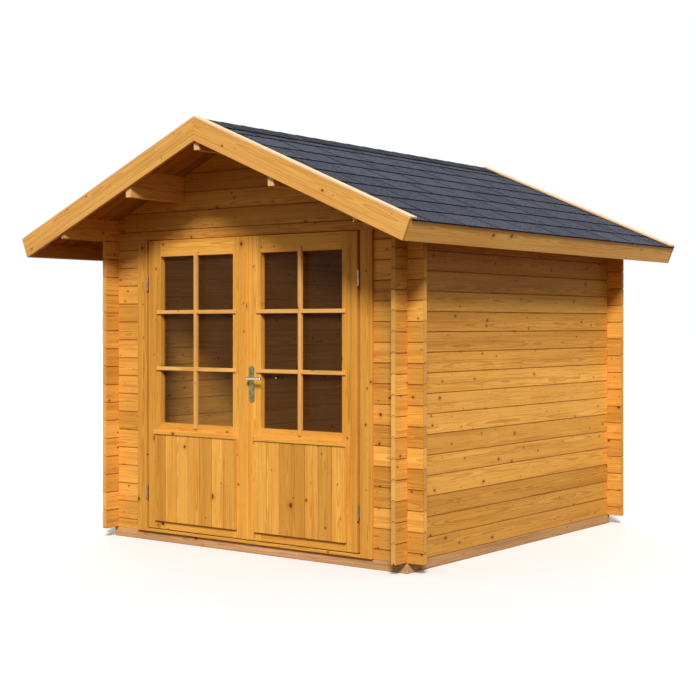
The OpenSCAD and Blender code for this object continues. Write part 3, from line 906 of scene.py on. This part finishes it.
def ridge_cap():
    """Folded cap whose near end is lifted to lie over the far end of the one before it."""
    shape = bmesh.new()
    ends = []
    for y, lift in ((0.0, CAP_LIFT), (CAP_LEN, 0.0)):
        bottom = ROOF_TOP + CAP_SEAT + lift
        top = bottom + CAP_T
        ring = (
            on_slope(-1, CAP_REACH, bottom, y),
            fold(bottom, y),
            on_slope(1, CAP_REACH, bottom, y),
            on_slope(1, CAP_REACH, top, y),
            fold(top, y),
            on_slope(-1, CAP_REACH, top, y),
        )
        ends.append([shape.verts.new(p) for p in ring])
    near, far = ends
    count = len(near)
    for i in range(count):
        j = (i + 1) % count
        shape.faces.new((near[i], near[j], far[j], far[i]))
    for ring in ends:
        shape.faces.new((ring[0], ring[1], ring[4], ring[5]))
        shape.faces.new((ring[1], ring[2], ring[3], ring[4]))
    bmesh.ops.recalc_face_normals(shape, faces=shape.faces)
    ease_edges(shape, CAP_EASE, 1)
    return shape


def ridge_caps():
    """Folded caps that lap each other along the ridge."""
    low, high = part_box("ridge_covering")
    count = math.ceil((high.y - low.y) / CAP_SHOWN)
    mesh = rows_of(
        "ridge_caps",
        ridge_cap(),
        shaded_ridge_slate,
        Count=count,
        In_a_Row=count,
        Start=(0, low.y, 0),
        Step=(0, CAP_SHOWN, 0),
        Wander=(0, CAP_WANDER, 0),
        Seed=CAP_PLACE_SEED,
    )
    trim(mesh, (0, high.y, 0), (0, 1, 0))
    trim(mesh, (0, low.y, 0), (0, -1, 0))
    mark_grain(mesh, "x", CAP_TONE_SEED, CAP_EDGE_SHADE)
    piece("ridge_caps", mesh, shaded_ridge_slate, "shed", "shingle", "ridge_covering")


# Glazing bars

BAR_W = 0.024
BAR_PROUD = 0.010
BAR_BEHIND = 0.012
BAR_LAP = 0.028
BAR_SEAT = 0.0002
BAR_PLAY = 0.0005
BAR_STEP = 0.0004
BAR_EASE = 0.003
BAR_LEVELS = (0.327, 0.666)
BAR_SEEDS = {"left": 74, "right": 75}
GLASS_GROOVE = 0.0098


def bar_shape(low, high, face, across, level):
    """Bar whose ends lap over the frame: it runs along X where level is true, else up."""
    profile = (
        (low - BAR_LAP, -BAR_PROUD),
        (high + BAR_LAP, -BAR_PROUD),
        (high + BAR_LAP, -BAR_SEAT),
        (high - BAR_PLAY, -BAR_SEAT),
        (high - BAR_PLAY, BAR_BEHIND),
        (low + BAR_PLAY, BAR_BEHIND),
        (low + BAR_PLAY, -BAR_SEAT),
        (low - BAR_LAP, -BAR_SEAT),
    )
    edge = across - BAR_W / 2
    if level:
        shape = prism_shape([(a, face + b, edge) for a, b in profile], (0, 0, BAR_W))
    else:
        shape = prism_shape([(edge, face + b, a) for a, b in profile], (BAR_W, 0, 0))
    ease_edges(shape, BAR_EASE, 3)
    return shape


def glaze_leaf(side):
    """Two level bars and one upright bar in front of a leaf's glass, crossing in one plane."""
    pane_low, pane_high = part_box(side + "_leaf_glass")
    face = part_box(side + "_leaf_panel")[1].y
    left = pane_low.x + GLASS_GROOVE
    right = pane_high.x - GLASS_GROOVE
    bottom = pane_low.z + GLASS_GROOVE
    top = pane_high.z - GLASS_GROOVE
    levels = [bottom + (top - bottom) * share for share in BAR_LEVELS]
    shapes = [bar_shape(left, right, face, z, True) for z in levels]
    shapes.append(bar_shape(bottom, top, face - BAR_STEP, (left + right) / 2, False))
    together = bmesh.new()
    for shape in shapes:
        mesh = finished(shape, "bar")
        together.from_mesh(mesh)
        bpy.data.meshes.remove(mesh)
    name = side + "_glazing_bars"
    mesh = mark_grain(finished(together, name), "longest", BAR_SEEDS[side])
    piece(name, mesh, bar_spruce, side + "_leaf", "door_wood")


# Metal and glass that keep their CAD shape, and the screws of the handle plates

SCREW_RINGS = ((0.0035, 0.0), (0.0035, -0.0006), (0.0024, -0.0012))
SCREW_SIDES = 12
SCREW_INSET = 0.014
SCREW_SEED = 1


def paint_node(node, material):
    mesh = frame["nodes"][node].data
    mesh.materials.clear()
    mesh.materials.append(material)


def screw_head():
    """Raised head, 7 mm across, facing -Y."""
    shape = bmesh.new()
    turns = [2 * math.pi * i / SCREW_SIDES for i in range(SCREW_SIDES)]
    rings = []
    for radius, y in SCREW_RINGS:
        ring = [(radius * math.cos(turn), y, radius * math.sin(turn)) for turn in turns]
        rings.append([shape.verts.new(p) for p in ring])
    for lower, upper in zip(rings, rings[1:]):
        for i in range(SCREW_SIDES):
            j = (i + 1) % SCREW_SIDES
            shape.faces.new((lower[i], lower[j], upper[j], upper[i]))
    shape.faces.new(rings[0])
    shape.faces.new(list(reversed(rings[-1])))
    bmesh.ops.recalc_face_normals(shape, faces=shape.faces)
    return shape


def handle_screws(name, outside):
    """Two screws in the plate on the outer or the inner side of the right leaf."""
    low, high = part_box("handle_plates")
    shape = screw_head()
    if not outside:
        half_turn = Matrix.Rotation(math.pi, 3, "Z")
        bmesh.ops.rotate(shape, verts=shape.verts, cent=(0, 0, 0), matrix=half_turn)
    mesh = rows_of(
        name,
        shape,
        painted_reflection_nickel,
        Count=2,
        In_a_Row=2,
        Start=((low.x + high.x) / 2, low.y if outside else high.y, low.z + SCREW_INSET),
        Step=(0, 0, high.z - low.z - 2 * SCREW_INSET),
        Seed=SCREW_SEED,
    )
    piece(name, mesh, painted_reflection_nickel, "right_leaf", "handle_nickel")


dress_timber()
for board_row in BOARDS:
    lay_boards(*board_row)
shingle_slope("left_shingles", -1, 21)
shingle_slope("right_shingles", 1, 22)
ridge_caps()
glaze_leaf("left")
glaze_leaf("right")
handle_screws("handle_screws", True)
handle_screws("handle_screws_inside", False)
for pane_node in ("left_leaf_glass", "right_leaf_glass"):
    paint_node(pane_node, glass)
for hinge_node in ("jamb_hinge_halves", "left_leaf_hinge_halves", "right_leaf_hinge_halves"):
    paint_node(hinge_node, zinc)
paint_node("handle_plates", painted_reflection_nickel)
paint_node("lever_handle", bright_nickel)

# Studio: pale floor and soft light

FLOOR_HALF = 60
FLOOR_DROP = 0.001
FLOOR_LIT = rgb(0.12, 0.07, 0.03)
FLOOR_SEEN = rgb(0.97, 0.97, 0.97)
SKY_LIT = 0.45
SKY_SEEN = 1.0


def studio_floor():
    shape = bmesh.new()
    bmesh.ops.create_grid(shape, x_segments=1, y_segments=1, size=FLOOR_HALF)
    floor = bpy.data.objects.new("studio_floor", finished(shape, "studio_floor"))
    bpy.context.scene.collection.objects.link(floor)
    floor.location.z = -FLOOR_DROP
    pale = Finish("pale_floor")
    pale.paint("Base Color", pale.blend(pale.seen_straight(), FLOOR_LIT, FLOOR_SEEN))
    pale.paint("Roughness", 0.9)
    pale.paint("Specular IOR Level", 0.0)
    floor.data.materials.append(pale.material)


def far_lamp(name, strength, width, direction):
    """Soft lamp far off: its width in degrees sets how soft the shadows are."""
    lamp = bpy.data.lights.new(name, "SUN")
    lamp.energy = strength
    lamp.angle = math.radians(width)
    made = bpy.data.objects.new(name, lamp)
    bpy.context.scene.collection.objects.link(made)
    made.rotation_mode = "QUATERNION"
    made.rotation_quaternion = direction.to_track_quat("-Z", "Y")


def studio_light():
    world = bpy.data.worlds.new("studio")
    bpy.context.scene.world = world
    world.use_nodes = True
    world.node_tree.nodes.clear()
    sky = Nodes(world.node_tree)
    lit = sky.node("ShaderNodeBackground", {}, {"Color": rgb(1, 1, 1), "Strength": SKY_LIT})
    seen = sky.node("ShaderNodeBackground", {}, {"Color": rgb(1, 1, 1), "Strength": SKY_SEEN})
    both = sky.node("ShaderNodeMixShader", {}, {0: sky.seen_straight(), 1: lit, 2: seen})
    out = sky.tree.nodes.new("ShaderNodeOutputWorld")
    sky.tree.links.new(both.socket, out.inputs["Surface"])
    far_lamp("key_light", 3.4, 12, Vector((-0.50, 0.64, -0.58)))
    far_lamp("back_fill", 0.7, 50, Vector((0.60, -0.62, -0.50)))


# Camera, fitted to the photograph in its own pixels

PHOTO_W = 696
FOCAL_PX = 1357.4
EYE = Vector((5.508, -7.133, 1.364))
HEADING = math.radians(36.07)
CENTRE_PX = (400.0, 324.7)
SENSOR_MM = 36
FAR_CLIP = 200


def photo_camera():
    """Level camera at the viewing angle of the photograph."""
    lens = bpy.data.cameras.new("photo_camera")
    lens.sensor_width = SENSOR_MM
    lens.lens = FOCAL_PX / PHOTO_W * SENSOR_MM
    lens.shift_x = (PHOTO_W / 2 - CENTRE_PX[0]) / PHOTO_W
    lens.shift_y = (CENTRE_PX[1] - PHOTO_W / 2) / PHOTO_W
    lens.clip_end = FAR_CLIP
    camera = bpy.data.objects.new("photo_camera", lens)
    bpy.context.scene.collection.objects.link(camera)
    camera.location = EYE
    camera.rotation_euler = (math.radians(90), 0, HEADING)
    bpy.context.scene.camera = camera


studio_floor()
studio_light()
photo_camera()
bpy.context.scene.view_settings.view_transform = "Standard"
